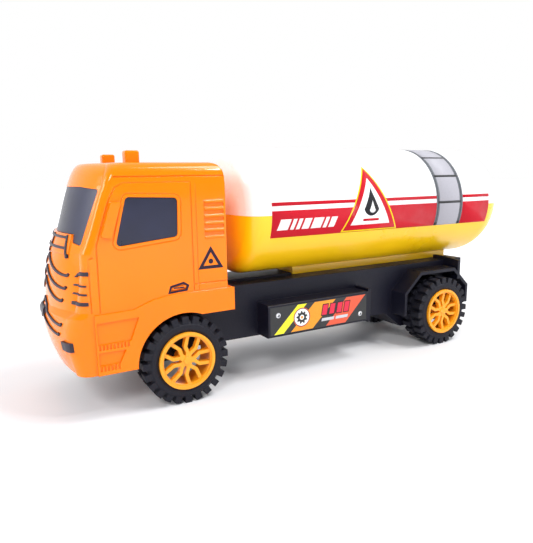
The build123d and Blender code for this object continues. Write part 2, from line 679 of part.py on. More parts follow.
door_seam = seam((-151.6, 60.5), (-151.4, 96.0), (-143.6, 119.5), (-140.0, 126.0), (-135.5, 128.2),
                 (-98.2, 128.2), (-98.2, 66.5))
cab -= side_cut(door_seam, seam_depth)
cab -= side_cut(seam((-156.0, 60.8), (-156.0, 89.5), (-153.4, 90.2)), seam_depth)
cab -= side_cut(seam((-98.2, 70.2), (cab_rear_x, 70.2)), seam_depth)
cab -= side_cut(seam((-95.4, 128.2), (-95.4, 66.5)), seam_depth * 0.6)
roof_seam_depth = 0.95         # the roof's side stands further in
cab -= side_cut(seam((-140.5, 131.4), (cab_rear_x - 1, 131.4)), roof_seam_depth)
frame_groove = grown(side_shape, 2.2) - grown(side_shape, 1.75)
cab -= side_cut(frame_groove, seam_depth * 0.7)
louvre_count = 5
louvre_x = -84.4
louvre_low_z = 98.6
louvre_pitch = 4.1
louvre_length = 12.4
louvre_rib_radius = 0.9
louvre_rib_sink = 0.3          # rib's axis behind the side face
for i in range(louvre_count):
    slot = Pos(louvre_x, louvre_low_z + louvre_pitch * i) * RectangleRounded(louvre_length, 1.9, 0.6)
    cab -= side_cut(slot, 0.9)
for i in range(louvre_count + 1):
    rib_z = louvre_low_z + louvre_pitch * (i - 0.5)
    for side in (-1, 1):
        rib = Pos(side * (cab_side_y - louvre_rib_sink), rib_z) * Circle(louvre_rib_radius)
        cab += along_x(rib, louvre_x - louvre_length / 2 + 0.3, louvre_x + louvre_length / 2 - 0.3)
handle_shape = outline((-113.6, 66.6), (-112.2, 70.2), (-104.4, 71.8), (-101.6, 69.8), (-102.8, 67.2))
handle_shape = fillet(handle_shape.vertices(), 0.7)
cab -= side_cut(handle_shape, 0.9)
handle_bar = Pos(-107.3, 69.1) * Rot(0, 0, 6) * RectangleRounded(8.2, 1.5, 0.5)
cab += along_y(handle_bar, -cab_side_y, -cab_side_y + 1.2) + along_y(handle_bar, cab_side_y - 1.2, cab_side_y)
step_depth = 1.3
upper_bay = outline((-154.0, 55.0), (-131.5, 55.4), (-136.4, 43.2), (-154.0, 43.2))
lower_bay = outline((-154.0, 38.6), (-139.4, 38.6), (-143.0, 31.4), (-154.0, 31.4))
cab -= side_cut(upper_bay, step_depth, flare_proud)
cab -= side_cut(lower_bay, step_depth, flare_proud)
step_ribs = ((-153.2, 43.2, 9), (-153.2, 31.4, 6))
for start_x, bay_z, count in step_ribs:
    for i in range(count):
        notch = Pos(start_x + 1.9 * i, bay_z - 1.5) * Rectangle(0.9, 3.0)
        cab -= side_cut(notch, 0.7, flare_proud)

# roof beacons
beacon_x = -126.0
beacon_y = 27.0
beacon_height = 6.6
for side in (-1, 1):
    beacon = box(beacon_x - 4, beacon_x + 4, side * beacon_y - 3.4, side * beacon_y + 3.4, cab_top_z - 1.6,
                 cab_top_z + beacon_height)
    cab += fillet(beacon.edges().filter_by(Axis.Z) + beacon.edges().sort_by(Axis.Z)[-4:], 1.2)

# mirrors on the windscreen pillars
mirror_proud = 1.8
mirror_shape = outline((-137.4, 118.6), (-143.0, 118.6), (-149.0, 100.6), (-143.6, 99.6))
mirror_shape = fillet(mirror_shape.vertices(), 1.0)
for side in (-1, 1):
    y_in, y_out = side * (cab_side_y - 1.0), side * (cab_side_y + mirror_proud)
    y0, y1 = min(y_in, y_out), max(y_in, y_out)
    cab += along_y(mirror_shape, y0, y1)

# cab screw towers stand on the chassis deck
for sx in cab_screw_xs:
    cab += rod_z(boss_radius, sx, 0, beam_top_z, cab_top_z - shell_wall)
    cab -= rod_z(screw_radius, sx, 0, beam_top_z - 1, beam_top_z + screw_bite)
    parts["chassis_frame"] -= rod_z(screw_radius + screw_hole_clearance, sx, 0, beam_top_z - wall - 1,
                                    beam_top_z + 3)
cab_screws = Part()
for sx in cab_screw_xs:
    cab_screws += screw(sx, 0, beam_top_z - wall, Rot(0, 0, 0), 9.0)
parts["cab_screws"] = cab_screws
parts["cab_shell"] = cab


def glazing(hole, flange):
    """Window insert: a plug that fills the opening and a wider flange behind the wall."""
    plug = (glass_outer - cab_inner) & hole
    return plug + ((cab_inner - glass_back) & flange)


windshield = glazing(along_x(grown(screen_shape, -lid_clearance), -180, -140),
                     along_x(grown(screen_shape, 1.2), -180, -140))
parts["windshield"] = windshield
side_plug = along_y(grown(side_shape, -lid_clearance), -60, 0)
side_flange = along_y(grown(side_shape, 1.2), -60, 0)
side_window = glazing(side_plug, side_flange)
parts["side_window_left"] = side_window
parts["side_window_right"] = mirrored(side_window)

# black trim on the nose
lamp_rear_x = -156.4
bar_proud = 0.9
bar_steps = 7
bar_power = 1.9
nose_skin = (Pos(-bar_proud, 0, 0) * cab_outer) - cab_outer


def bar_shape(end_y, end_z, rise, thickness):
    """Bar in front view: it climbs towards the centre plane, steeper as it goes, and its ends turn up."""
    near_half = [(end_y + 0.9, end_z + 1.1)]
    for i in range(bar_steps + 1):
        share = i / bar_steps
        near_half.append((end_y * (1 - share), end_z + rise * share ** bar_power))
    far_half = [(-y, z) for y, z in reversed(near_half[:-1])]
    return trace(Polyline(*near_half, *far_half), thickness)


# half length, height of the ends, rise, thickness
grille_rows = ((28.0, 79.6, 9.6, 1.2), (27.0, 72.6, 9.6, 1.2), (25.0, 65.6, 10.4, 1.2),
               (30.5, 53.6, 10.6, 1.2), (27.5, 47.8, 8.0, 1.2))
grille = Part()
for end_y, end_z, rise, thickness in grille_rows:
    grille += along_x(bar_shape(end_y, end_z, rise, thickness), -far, lamp_rear_x) & nose_skin
plate = box(-far, lamp_rear_x, -6.5, 6.5, 55.4, 59.4) & (Pos(-bar_proud - 0.6, 0, 0) * cab_outer)
grille += plate - cab_outer
parts["grille_bars"] = grille

# black bars of the headlamps, round the corner of the nose
corner_skin = Pos(-0.6, -0.6, 0) * cab_outer
lamp_bars = Part()
lamp_front_y = 33.6
lamp_rows = ((75.5, 0.8, 1.4), (71.0, 0.8, 1.4), (66.0, 1.7, 1.0))
for z, thickness, setback in lamp_rows:
    band = box(-far, lamp_rear_x - setback, -cab_side_y - 2, -lamp_front_y, z - thickness / 2,
               z + thickness / 2)
    lamp_bars += (band & corner_skin) - cab_outer
brow = outline((-lamp_front_y, 79.4), (-34.8, 79.6), (-36.8, 81.0), (-cab_side_y - 2, 80.9),
               (-cab_side_y - 2, 83.0), (-38.5, 82.8), (-35.6, 81.8))
lamp_bars += (along_x(brow, -far, lamp_rear_x) & corner_skin) - cab_outer
parts["headlamp_bars_left"] = lamp_bars
parts["headlamp_bars_right"] = mirrored(lamp_bars)

# fog lamps in the bumper corners
fog_proud = 1.4
fog = box(-far, lamp_rear_x, -39.6, -31.6, 40.2, 45.2)
fog_block = (fog & (Pos(-fog_proud, -0.6, 0) * cab_outer)) - (fog & cab_outer)
parts["fog_lamp_left"] = fog_block
parts["fog_lamp_right"] = mirrored(fog_block)

# raised cowl block below the windscreen with its black frame
cowl_proud = 0.7
cowl_low_z = 91.0
cowl_low_half = cowl_half + 2.0
cowl = along_x(outline((cowl_low_half, cowl_low_z), (cowl_half, cowl_top_z), (-cowl_half, cowl_top_z),
                       (-cowl_low_half, cowl_low_z)),
               -far, lamp_rear_x)
cowl_block = (cowl & (Pos(-cowl_proud, 0, 0) * cab_outer)) - cab_inner
parts["cab_shell"] += cowl_block
cowl_bar = 1.2
frame_proud = 0.7              # frame above the block
leg_top_y = cowl_half - 3.4
leg_low_y = cowl_half + 1.2
leg_low_z = 89.0
leg_knee_z = 96.0
frame_shape = Pos(0, cowl_top_z - 1.7) * Rectangle(2 * leg_top_y, cowl_bar)
frame_shape += Pos(0, cowl_top_z - 7.2) * Rectangle(2 * leg_top_y + 3.0, cowl_bar)
for side in (-1, 1):
    leg = Polyline((side * leg_top_y, cowl_top_z - 0.4), (side * (leg_top_y + 1.2), leg_knee_z),
                   (side * leg_low_y, leg_low_z))
    frame_shape += trace(leg, cowl_bar)
frame_shape += box_face(-cowl_bar / 2, cowl_bar / 2, leg_low_z + 1.4, cowl_top_z - 0.4)
frame_layer = Pos(-cowl_proud - frame_proud, 0, 0) * cab_outer
cowl_frame = (along_x(frame_shape, -far, lamp_rear_x) & frame_layer) - cab_outer - cowl_block
parts["cowl_frame"] = cowl_frame

# ---- labels -------------------------------------------------------------------------------------
label_skin = (Pos(0, 0, tank_axis_z) * Rot(0, 90, 0) * Cylinder(tank_radius + label_thickness, 2 * far)
              - Pos(0, 0, tank_axis_z) * Rot(0, 90, 0) * Cylinder(tank_radius, 2 * far))


def wedge(x0, x1, angle0, angle1):
    """Sector prism along the tank between two angles, 0 at -Y, 90 at the top."""
    reach = tank_radius + 20
    steps = max(2, int(abs(angle1 - angle0) / 30) + 2)
    points = [(0, tank_axis_z)]
    for i in range(steps + 1):
        a = radians(angle0 + (angle1 - angle0) * i / steps)
        points.append((-reach * cos(a), tank_axis_z + reach * sin(a)))
    return along_x(outline(*points), x0, x1)


ladder_x0, ladder_x1 = 97.0, 125.0
band_x0, band_x1 = -45.0, 155.0
tank_label = (label_skin & wedge(band_x0, band_x1, -21.4, 9.5)) + (label_skin & wedge(9.5, 59.6, -22.0, 24.0))
tank_label -= box(ladder_x0, ladder_x1, -60, 60, 0, 200)
parts["tank_label_left"] = tank_label
parts["tank_label_right"] = mirrored(tank_label)
parts["ladder_label"] = label_skin & wedge(ladder_x0, ladder_x1, -21.4, 201.4)

box_label = box(box_front_x + 1.5, box_rear_x - 1.5, -box_outer_y - label_thickness, -box_outer_y,
                box_bottom_z + 1.5, box_top_z - 1.5)
parts["box_label_left"] = box_label
parts["box_label_right"] = mirrored(box_label)

# ---- output -------------------------------------------------------------------------------------
low_x = min(shape.bounding_box().min.X for shape in parts.values())
high_x = max(shape.bounding_box().max.X for shape in parts.values())
shift = Pos(-(low_x + high_x) / 2, 0, 0)
print("x shift", -(low_x + high_x) / 2)
for node, shape in parts.items():
    export_step(shift * shape, f"parts/{node}.step")
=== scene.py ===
import json
import math

import bmesh
import bpy
from mathutils import Matrix, Vector
from mathutils.geometry import tessellate_polygon


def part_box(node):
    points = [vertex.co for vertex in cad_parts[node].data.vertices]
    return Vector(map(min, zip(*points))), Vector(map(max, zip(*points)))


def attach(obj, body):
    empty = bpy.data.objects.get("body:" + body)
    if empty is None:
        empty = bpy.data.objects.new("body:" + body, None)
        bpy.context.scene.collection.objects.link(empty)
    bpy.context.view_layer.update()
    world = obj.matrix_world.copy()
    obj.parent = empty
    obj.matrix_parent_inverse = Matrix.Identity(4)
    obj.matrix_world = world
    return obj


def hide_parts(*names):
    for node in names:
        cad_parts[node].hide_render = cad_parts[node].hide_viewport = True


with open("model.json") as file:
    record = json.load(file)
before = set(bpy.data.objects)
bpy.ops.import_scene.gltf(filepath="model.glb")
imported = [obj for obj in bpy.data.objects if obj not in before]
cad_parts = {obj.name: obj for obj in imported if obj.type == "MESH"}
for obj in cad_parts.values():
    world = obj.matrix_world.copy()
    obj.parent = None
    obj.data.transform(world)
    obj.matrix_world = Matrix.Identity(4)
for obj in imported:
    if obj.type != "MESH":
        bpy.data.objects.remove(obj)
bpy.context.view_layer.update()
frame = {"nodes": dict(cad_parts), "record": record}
MM = 0.001

# ---- places taken from the frame ----------------------------------------------------------------
def centre(node):
    """Middle of a CAD node's box."""
    low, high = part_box(node)
    return (Vector(low) + Vector(high)) / 2


FRONT_AXLE = centre("front_axle")
REAR_AXLE = centre("rear_axle")
MID_X = (FRONT_AXLE.x + REAR_AXLE.x) / 2
TANK_LOW, TANK_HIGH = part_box("tank_upper_shell")
TANK_R = (TANK_HIGH[1] - TANK_LOW[1]) / 2
TANK_Z = TANK_HIGH[2] - TANK_R
LABEL_LOW, LABEL_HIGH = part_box("box_label_left")
CAB_SIDE_Y = 43.4 * MM

# ---- camera, light and stage --------------------------------------------------------------------
scene = bpy.context.scene
scene.view_settings.view_transform = "Standard"
scene.view_settings.look = "None"
scene.render.film_transparent = False


def make_camera():
    """Camera at the viewing angle of the reference: low, off the truck's front left corner."""
    data = bpy.data.cameras.new("camera")
    data.sensor_width = 36.0
    data.lens = 34.93
    data.clip_start = 0.01
    data.clip_end = 100.0
    cam = bpy.data.objects.new("camera", data)
    scene.collection.objects.link(cam)
    forward = Vector((0.4853, 0.8561, -0.1776))
    right = Vector((0.8686, -0.4954, -0.0146))
    up = Vector((0.1005, 0.1472, 0.9840))
    place = Vector((MID_X - 208.35 * MM, -322.22 * MM, 130.46 * MM))
    turn = Matrix((right, up, -forward)).transposed()
    cam.matrix_world = Matrix.Translation(place) @ turn.to_4x4()
    scene.camera = cam


make_camera()


def srgb(r, g, b):
    """Linear colour of an 8-bit sRGB triple."""
    out = []
    for value in (r, g, b):
        c = value / 255.0
        out.append(c / 12.92 if c <= 0.04045 else ((c + 0.055) / 1.055) ** 2.4)
    return (*out, 1.0)


def area_light(name, place, target, size, power, tint=(1.0, 1.0, 1.0)):
    """Square soft box aimed at a point."""
    data = bpy.data.lights.new(name, "AREA")
    data.shape = "SQUARE"
    data.size = size
    data.energy = power
    data.color = tint
    lamp = bpy.data.objects.new(name, data)
    scene.collection.objects.link(lamp)
    lamp.location = place
    lamp.rotation_euler = (Vector(target) - Vector(place)).to_track_quat("-Z", "Y").to_euler()


BRIGHT_SIDE = (0.49, 0.87, 0.12)      # direction of the white half of the surround
DIM_SURROUND = (0.30, 0.305, 0.34, 1)
LIGHT_TARGET = (0.0, 0.0, 0.07)


def make_light():
    """Surround, white behind the truck and dimmer in front, with a window-like source and soft boxes."""
    world = bpy.data.worlds.new("surround")
    scene.world = world
    world.use_nodes = True
    nodes, links = world.node_tree.nodes, world.node_tree.links
    nodes.clear()
    out = nodes.new("ShaderNodeOutputWorld")
    back = nodes.new("ShaderNodeBackground")
    coord = nodes.new("ShaderNodeTexCoord")
    away = nodes.new("ShaderNodeVectorMath")
    away.operation = "DOT_PRODUCT"
    away.inputs[1].default_value = BRIGHT_SIDE
    ramp = nodes.new("ShaderNodeValToRGB")
    shift = nodes.new("ShaderNodeMapRange")
    shift.inputs["From Min"].default_value = -1.0
    shift.inputs["From Max"].default_value = 1.0
    ramp.color_ramp.elements[0].position = 0.25
    ramp.color_ramp.elements[0].color = DIM_SURROUND
    ramp.color_ramp.elements[1].position = 0.72
    ramp.color_ramp.elements[1].color = (1.0, 1.0, 1.0, 1)
    links.new(coord.outputs["Generated"], away.inputs[0])
    links.new(away.outputs["Value"], shift.inputs["Value"])
    links.new(shift.outputs["Result"], ramp.inputs["Fac"])
    links.new(ramp.outputs["Color"], back.inputs["Color"])
    back.inputs["Strength"].default_value = 1.0
    links.new(back.outputs[0], out.inputs["Surface"])
    area_light("window", (-0.75, -0.85, 0.85), LIGHT_TARGET, 0.36, 8.0, (1.0, 0.99, 0.97))
    area_light("overhead", (0.42, -0.3, 1.05), LIGHT_TARGET, 0.4, 6.5, (0.98, 0.99, 1.0))
    area_light("nose_light", (-1.2, 0.25, 0.55), LIGHT_TARGET, 0.5, 6.0, (1.0, 1.0, 1.0))
    area_light("glint_high", (0.3, -0.55, 0.8), LIGHT_TARGET, 0.07, 1.6, (1.0, 1.0, 1.0))
    area_light("glint_low", (0.75, -0.9, 0.42), LIGHT_TARGET, 0.09, 1.2, (1.0, 1.0, 1.0))


make_light()


# ---- materials ----------------------------------------------------------------------------------
def new_material(name):
    """Empty principled material and its node helpers."""
    mat = bpy.data.materials.new(name)
    mat.use_nodes = True
    tree = mat.node_tree
    bsdf = tree.nodes["Principled BSDF"]
    return mat, tree.nodes, tree.links, bsdf


def noise(nodes, links, coord, scale, detail=3.0, rough=0.5):
    """Noise texture over object space; scale is in features per metre."""
    tex = nodes.new("ShaderNodeTexNoise")
    tex.inputs["Scale"].default_value = scale
    tex.inputs["Detail"].default_value = detail
    tex.inputs["Roughness"].default_value = rough
    links.new(coord, tex.inputs["Vector"])
    return tex.outputs["Fac"]


def ramp_between(nodes, links, factor, low, high, start=0.35, end=0.65):
    """Colour ramp from low to high driven by a factor."""
    ramp = nodes.new("ShaderNodeValToRGB")
    ramp.color_ramp.elements[0].position = start
    ramp.color_ramp.elements[0].color = low
    ramp.color_ramp.elements[1].position = end
    ramp.color_ramp.elements[1].color = high
    links.new(factor, ramp.inputs["Fac"])
    return ramp.outputs["Color"]


NOISE_LOW, NOISE_HIGH = 0.3, 0.7      # where most of a noise texture's values lie


def ranged(nodes, links, factor, low, high):
    """Noise factor mapped to low..high."""
    node = nodes.new("ShaderNodeMapRange")
    node.inputs["From Min"].default_value = NOISE_LOW
    node.inputs["From Max"].default_value = NOISE_HIGH
    node.inputs["To Min"].default_value = low
    node.inputs["To Max"].default_value = high
    links.new(factor, node.inputs["Value"])
    return node.outputs["Result"]


def scaled(colour, factor):
    """Colour made darker or lighter."""
    return (colour[0] * factor, colour[1] * factor, colour[2] * factor, 1.0)


DUST = (0.55, 0.54, 0.52, 1)


def moulded(name, colour, rough=(0.2, 0.3), coat=0.0, grain=0.0, grain_scale=2200.0, peel=0.02,
            shade=0.93, spots=0.0, sub=0.0, specular=0.5, smudge=0.04, edge=0.0004):
    """Moulded plastic: faint shade drift, flow ripple, fine grain, dust, and marks in the gloss."""
    mat, nodes, links, bsdf = new_material(name)
    coord = nodes.new("ShaderNodeTexCoord").outputs["Object"]
    drift = noise(nodes, links, coord, 28.0, 2.0)
    colour_out = ramp_between(nodes, links, drift, scaled(colour, shade), colour)
    if spots > 0:
        dust = noise(nodes, links, coord, 900.0, 6.0, 0.75)
        dust_mask = ranged(nodes, links, dust, 0.0, spots)
        mix = nodes.new("ShaderNodeMix")
        mix.data_type = "RGBA"
        links.new(dust_mask, mix.inputs["Factor"])
        links.new(colour_out, mix.inputs["A"])
        mix.inputs["B"].default_value = DUST
        colour_out = mix.outputs["Result"]
    links.new(colour_out, bsdf.inputs["Base Color"])
    marks = noise(nodes, links, coord, 120.0, 8.0, 0.7)
    rough_node = nodes.new("ShaderNodeMath")
    rough_node.operation = "ADD"
    links.new(ranged(nodes, links, drift, rough[0], rough[1]), rough_node.inputs[0])
    links.new(ranged(nodes, links, marks, 0.0, smudge), rough_node.inputs[1])
    links.new(rough_node.outputs[0], bsdf.inputs["Roughness"])
    bsdf.inputs["Specular IOR Level"].default_value = specular
    bsdf.inputs["Coat Weight"].default_value = coat
    bsdf.inputs["Coat Roughness"].default_value = 0.06
    if sub > 0:
        bsdf.inputs["Subsurface Weight"].default_value = sub
        bsdf.inputs["Subsurface Scale"].default_value = 0.0025
        bsdf.inputs["Subsurface Radius"].default_value = (1.0, 0.5, 0.25)
    soft_edge = nodes.new("ShaderNodeBevel")
    soft_edge.samples = 6
    soft_edge.inputs["Radius"].default_value = edge
    ripple = nodes.new("ShaderNodeBump")
    links.new(soft_edge.outputs["Normal"], ripple.inputs["Normal"])
    ripple.inputs["Strength"].default_value = peel
    ripple.inputs["Distance"].default_value = 0.0006
    links.new(noise(nodes, links, coord, 260.0, 2.0), ripple.inputs["Height"])
    last = ripple
    if grain > 0:
        fine = nodes.new("ShaderNodeBump")
        fine.inputs["Strength"].default_value = grain
        fine.inputs["Distance"].default_value = 0.00012
        links.new(noise(nodes, links, coord, grain_scale, 4.0, 0.7), fine.inputs["Height"])
        links.new(ripple.outputs["Normal"], fine.inputs["Normal"])
        last = fine
    links.new(last.outputs["Normal"], bsdf.inputs["Normal"])
    return mat


def metal(name, colour, rough, lathe=0.25):
    """Drawn or cast metal with fine lines round its axis and small tarnish marks."""
    mat, nodes, links, bsdf = new_material(name)
    coord = nodes.new("ShaderNodeTexCoord").outputs["Object"]
    stretch = nodes.new("ShaderNodeMapping")
    stretch.inputs["Scale"].default_value = (1.0, 12.0, 1.0)
    links.new(coord, stretch.inputs["Vector"])
    lines = noise(nodes, links, stretch.outputs["Vector"], 900.0, 3.0)
    tarnish = noise(nodes, links, coord, 240.0, 5.0)
    links.new(ramp_between(nodes, links, tarnish, scaled(colour, 0.72), colour), bsdf.inputs["Base Color"])
    bsdf.inputs["Metallic"].default_value = 1.0
    links.new(ranged(nodes, links, lines, rough * 0.8, rough * 1.3), bsdf.inputs["Roughness"])
    bump = nodes.new("ShaderNodeBump")
    bump.inputs["Strength"].default_value = lathe
    bump.inputs["Distance"].default_value = 0.00005
    links.new(lines, bump.inputs["Height"])
    links.new(bump.outputs["Normal"], bsdf.inputs["Normal"])
    return mat


def film(name, colour, rough=0.34, wrinkle=0.25):
    """Printed vinyl film: laminate gloss, fine print dots and shallow wrinkles from being stretched on."""
    mat, nodes, links, bsdf = new_material(name)
    coord = nodes.new("ShaderNodeTexCoord").outputs["Object"]
    dots = noise(nodes, links, coord, 1600.0, 2.0)
    printed = ramp_between(nodes, links, dots, scaled(colour, 0.9), colour, 0.3, 0.6)
    links.new(printed, bsdf.inputs["Base Color"])
    bsdf.inputs["Specular IOR Level"].default_value = 0.18
    bsdf.inputs["Coat Weight"].default_value = 0.1
    bsdf.inputs["Coat Roughness"].default_value = 0.04
    wear = noise(nodes, links, coord, 90.0, 4.0)
    links.new(ranged(nodes, links, wear, rough, rough * 1.8), bsdf.inputs["Roughness"])
    stretch = nodes.new("ShaderNodeMapping")
    stretch.inputs["Scale"].default_value = (0.35, 1.0, 1.0)
    links.new(coord, stretch.inputs["Vector"])
    folds = noise(nodes, links, stretch.outputs["Vector"], 150.0, 4.0, 0.55)
    bump = nodes.new("ShaderNodeBump")
    bump.inputs["Strength"].default_value = wrinkle
    bump.inputs["Distance"].default_value = 0.0004
    links.new(folds, bump.inputs["Height"])
    links.new(bump.outputs["Normal"], bsdf.inputs["Normal"])
    return mat


ORANGE = srgb(255, 128, 0)
RIM_ORANGE = srgb(255, 168, 22)
YELLOW = srgb(255, 203, 8)
WHITE = srgb(244, 244, 243)
BLACK = srgb(10, 11, 30)
TYRE = srgb(14, 15, 30)
PRINT_BLACK = srgb(40, 28, 46)
RED = srgb(198, 8, 34)
LADDER_GREY = srgb(172, 171, 179)
CHARCOAL = srgb(58, 59, 60)

MATERIALS = {
    "cab_orange": moulded("cab_orange", ORANGE, (0.08, 0.13), coat=0.1, peel=0.06, sub=0.04,
                          shade=0.95, specular=0.26, edge=0.0006),
    "rim_orange": moulded("rim_orange", RIM_ORANGE, (0.3, 0.4), coat=0.1, peel=0.03, grain=0.05,
                          sub=0.08, shade=0.94),
    "tank_white": moulded("tank_white", WHITE, (0.2, 0.28), coat=0.3, peel=0.02, shade=0.97, sub=0.05),
    "tank_yellow": moulded("tank_yellow", YELLOW, (0.24, 0.34), coat=0.25, peel=0.02, shade=0.95, sub=0.08),
    "chassis_black": moulded("chassis_black", BLACK, (0.36, 0.5), grain=0.3, grain_scale=2600.0,
                             spots=0.01, shade=0.85, specular=0.28),
    "trim_black": moulded("trim_black", PRINT_BLACK, (0.3, 0.42), grain=0.12, shade=0.85),
    "window_tint": moulded("window_tint", srgb(34, 38, 66), (0.24, 0.36), peel=0.03, grain=0.04, shade=0.55),
    "tyre_black": moulded("tyre_black", TYRE, (0.5, 0.68), grain=0.35, grain_scale=1500.0,
                          spots=0.02, shade=0.8, specular=0.28),
    "label_print": film("label_print", WHITE),
    "ladder_print": film("ladder_print", LADDER_GREY),
    "box_print": film("box_print", CHARCOAL, wrinkle=0.05),
    "axle_steel": metal("axle_steel", srgb(196, 196, 200), 0.24),
    "gear_white": moulded("gear_white", srgb(228, 226, 214), (0.35, 0.45), grain=0.1, sub=0.1),
    "case_grey": moulded("case_grey", srgb(120, 124, 130), (0.4, 0.5), grain=0.2),
    "flywheel_zinc": metal("flywheel_zinc", srgb(150, 152, 156), 0.42),
    "screw_steel": metal("screw_steel", srgb(188, 188, 192), 0.26),
}
PRINTS = {
    "red": film("print_red", RED),
    "white": film("print_white", srgb(248, 248, 250)),
    "yellow": film("print_yellow", srgb(250, 216, 16)),
    "black": film("print_black", srgb(34, 34, 38)),
    "grey": film("print_grey", LADDER_GREY),
    "dark_grey": film("print_dark_grey", srgb(108, 112, 118)),
    "charcoal": film("print_charcoal", CHARCOAL, wrinkle=0.05),
    "lime": film("print_lime", srgb(242, 240, 60), wrinkle=0.05),
    "amber": film("print_amber", srgb(240, 158, 52), wrinkle=0.05),
    "coral": film("print_coral", srgb(232, 98, 70), wrinkle=0.05),
    "rose": film("print_rose", srgb(224, 52, 78), wrinkle=0.05),
    "silver": film("print_silver", srgb(206, 208, 212), wrinkle=0.05),
    "plum": film("print_plum", PRINT_BLACK, wrinkle=0.02),
}


def dress_nodes():
    """Give every CAD node the material of its slot."""
    slots = {part["node"]: part["material_slot"] for part in frame["record"]["subparts"]}
    for name, obj in frame["nodes"].items():
        for material_slot in obj.material_slots:
            material_slot.material = MATERIALS[slots[name]]


dress_nodes()


# ---- printed graphics ---------------------------------------------------------------------------
def link_mesh(name, bm, material, body="root", smooth=True):
    """Finish a bmesh as a piece that rides on a body."""
    mesh = bpy.data.meshes.new(name)
    bm.normal_update()
    bm.to_mesh(mesh)
    bm.free()
    for face in mesh.polygons:
        face.use_smooth = smooth
    obj = bpy.data.objects.new(name, mesh)
    scene.collection.objects.link(obj)
    mesh.materials.append(material)
    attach(obj, body)
    return obj


def flat_shape(loops):
    """Triangulated bmesh of a 2-D shape: the first loop is the outline, the others are holes."""
    bm = bmesh.new()
    points = [Vector((x, y, 0)) for loop in loops for x, y in loop]
    verts = [bm.verts.new(p) for p in points]
    for a, b, c in tessellate_polygon([[Vector((x, y, 0)) for x, y in loop] for loop in loops]):
        try:
            bm.faces.new((verts[a], verts[b], verts[c]))
        except ValueError:
            pass
    bmesh.ops.recalc_face_normals(bm, faces=bm.faces)
    return bm


def cut_lines(bm, start, end, step, axis):
    """Cut a flat shape along evenly spaced lines so that it can be bent."""
    count = int((end - start) / step)
    normal = Vector((1, 0, 0)) if axis == 0 else Vector((0, 1, 0))
    for i in range(1, count + 1):
        place = normal * (start + i * step)
        geom = bm.verts[:] + bm.edges[:] + bm.faces[:]
        bmesh.ops.bisect_plane(bm, geom=geom, plane_co=place, plane_no=normal)


def give_thickness(bm, offset_of):
    """Close a bent sheet: a copy of it one film thickness below, joined round the edge."""
    bm.normal_update()
    top = bm.faces[:]
    result = bmesh.ops.duplicate(bm, geom=bm.verts[:] + bm.edges[:] + top)
    copies = result["vert_map"].items()
    pairs = {old: new for old, new in copies if isinstance(old, bmesh.types.BMVert)}
    low_set = {f for f in result["geom"] if isinstance(f, bmesh.types.BMFace)}
    for old, new in pairs.items():
        if new.link_faces and all(f in low_set for f in new.link_faces):
            new.co = offset_of(old.co)
    rims = [e for e in bm.edges if len(e.link_faces) == 1 and e.link_faces[0] not in low_set]
    for edge in rims:
        a, b = edge.verts
        if a in pairs and b in pairs:
            try:
                bm.faces.new((a, b, pairs[b], pairs[a]))
            except ValueError:
                pass
    bmesh.ops.recalc_face_normals(bm, faces=bm.faces)


PRINT_THICKNESS = 0.02 * MM


def side_name(right):
    """Last part of a piece's name on one side of the truck."""
    return "right" if right else "left"


def tank_print(name, loops, layer, colour, right=False):
    """Graphic bent round the tank: x in mm from mid-wheelbase, angle in degrees, layer in mm of height."""
    bm = flat_shape(loops)
    low = min(y for loop in loops for _, y in loop)
    high = max(y for loop in loops for _, y in loop)
    cut_lines(bm, low, high, 1.5, 1)
    radius = TANK_R + layer * MM
    side = 1.0 if right else -1.0
    for vert in bm.verts:
        angle = math.radians(vert.co.y)
        y, z = side * radius * math.cos(angle), TANK_Z + radius * math.sin(angle)
        vert.co = Vector((MID_X + vert.co.x * MM, y, z))

    def inward(co):
        """The point one print thickness nearer the tank's axis."""
        arm = Vector((0, co.y, co.z - TANK_Z))
        return co - arm.normalized() * PRINT_THICKNESS

    give_thickness(bm, inward)
    return link_mesh(name, bm, PRINTS[colour])


def side_print(name, loops, plane_y, layer, colour, right=False):
    """Flat graphic on an upright side face: loops in mm, x from mid-wheelbase and z above the floor."""
    bm = flat_shape(loops)
    side = 1.0 if right else -1.0
    level = side * (plane_y + layer * MM)
    for vert in bm.verts:
        vert.co = Vector((MID_X + vert.co.x * MM, level, vert.co.y * MM))
    give_thickness(bm, lambda co: Vector((co.x, co.y - side * PRINT_THICKNESS, co.z)))
    return link_mesh(name, bm, PRINTS[colour], smooth=False)


def rectangle(x0, x1, y0, y1):
    """Four corners."""
    return [(x0, y0), (x1, y0), (x1, y1), (x0, y1)]


def slanted(x0, x1, y0, y1, lean):
    """Parallelogram whose top edge is shifted by lean."""
    return [(x0, y0), (x1, y0), (x1 + lean, y1), (x0 + lean, y1)]


def circle(cx, cy, radius, stretch=1.0, count=40):
    """Round loop."""
    loop = []
    for i in range(count):
        a = 2 * math.pi * i / count
        loop.append((cx + radius * math.cos(a), cy + radius * stretch * math.sin(a)))
    return loop


def inset_triangle(points, distance):
    """Triangle moved inwards by a distance on every side."""
    out = []
    for i in range(3):
        before, here, after = Vector(points[i - 1]), Vector(points[i]), Vector(points[(i + 1) % 3])
        a, b = (before - here).normalized(), (after - here).normalized()
        half = math.acos(max(-1, min(1, a.dot(b)))) / 2
        bisector = (a + b).normalized()
        out.append(tuple(here + bisector * (distance / math.sin(half))))
    return out


BAND_X0, BAND_X1 = -45.0, 155.0
LADDER_X0, LADDER_X1 = 97.0, 125.0
RED_LOW, RED_HIGH = -21.4, 2.3
THIN_LOW, THIN_HIGH = 6.4, 9.5
DEGREE_MM = math.radians(1) * TANK_R / MM
LAYERS = (0.04, 0.07, 0.10, 0.13)


def to_angle(loop):
    """Loop with its second coordinate changed from mm round the tank to degrees."""
    return [(x, y / DEGREE_MM) for x, y in loop]


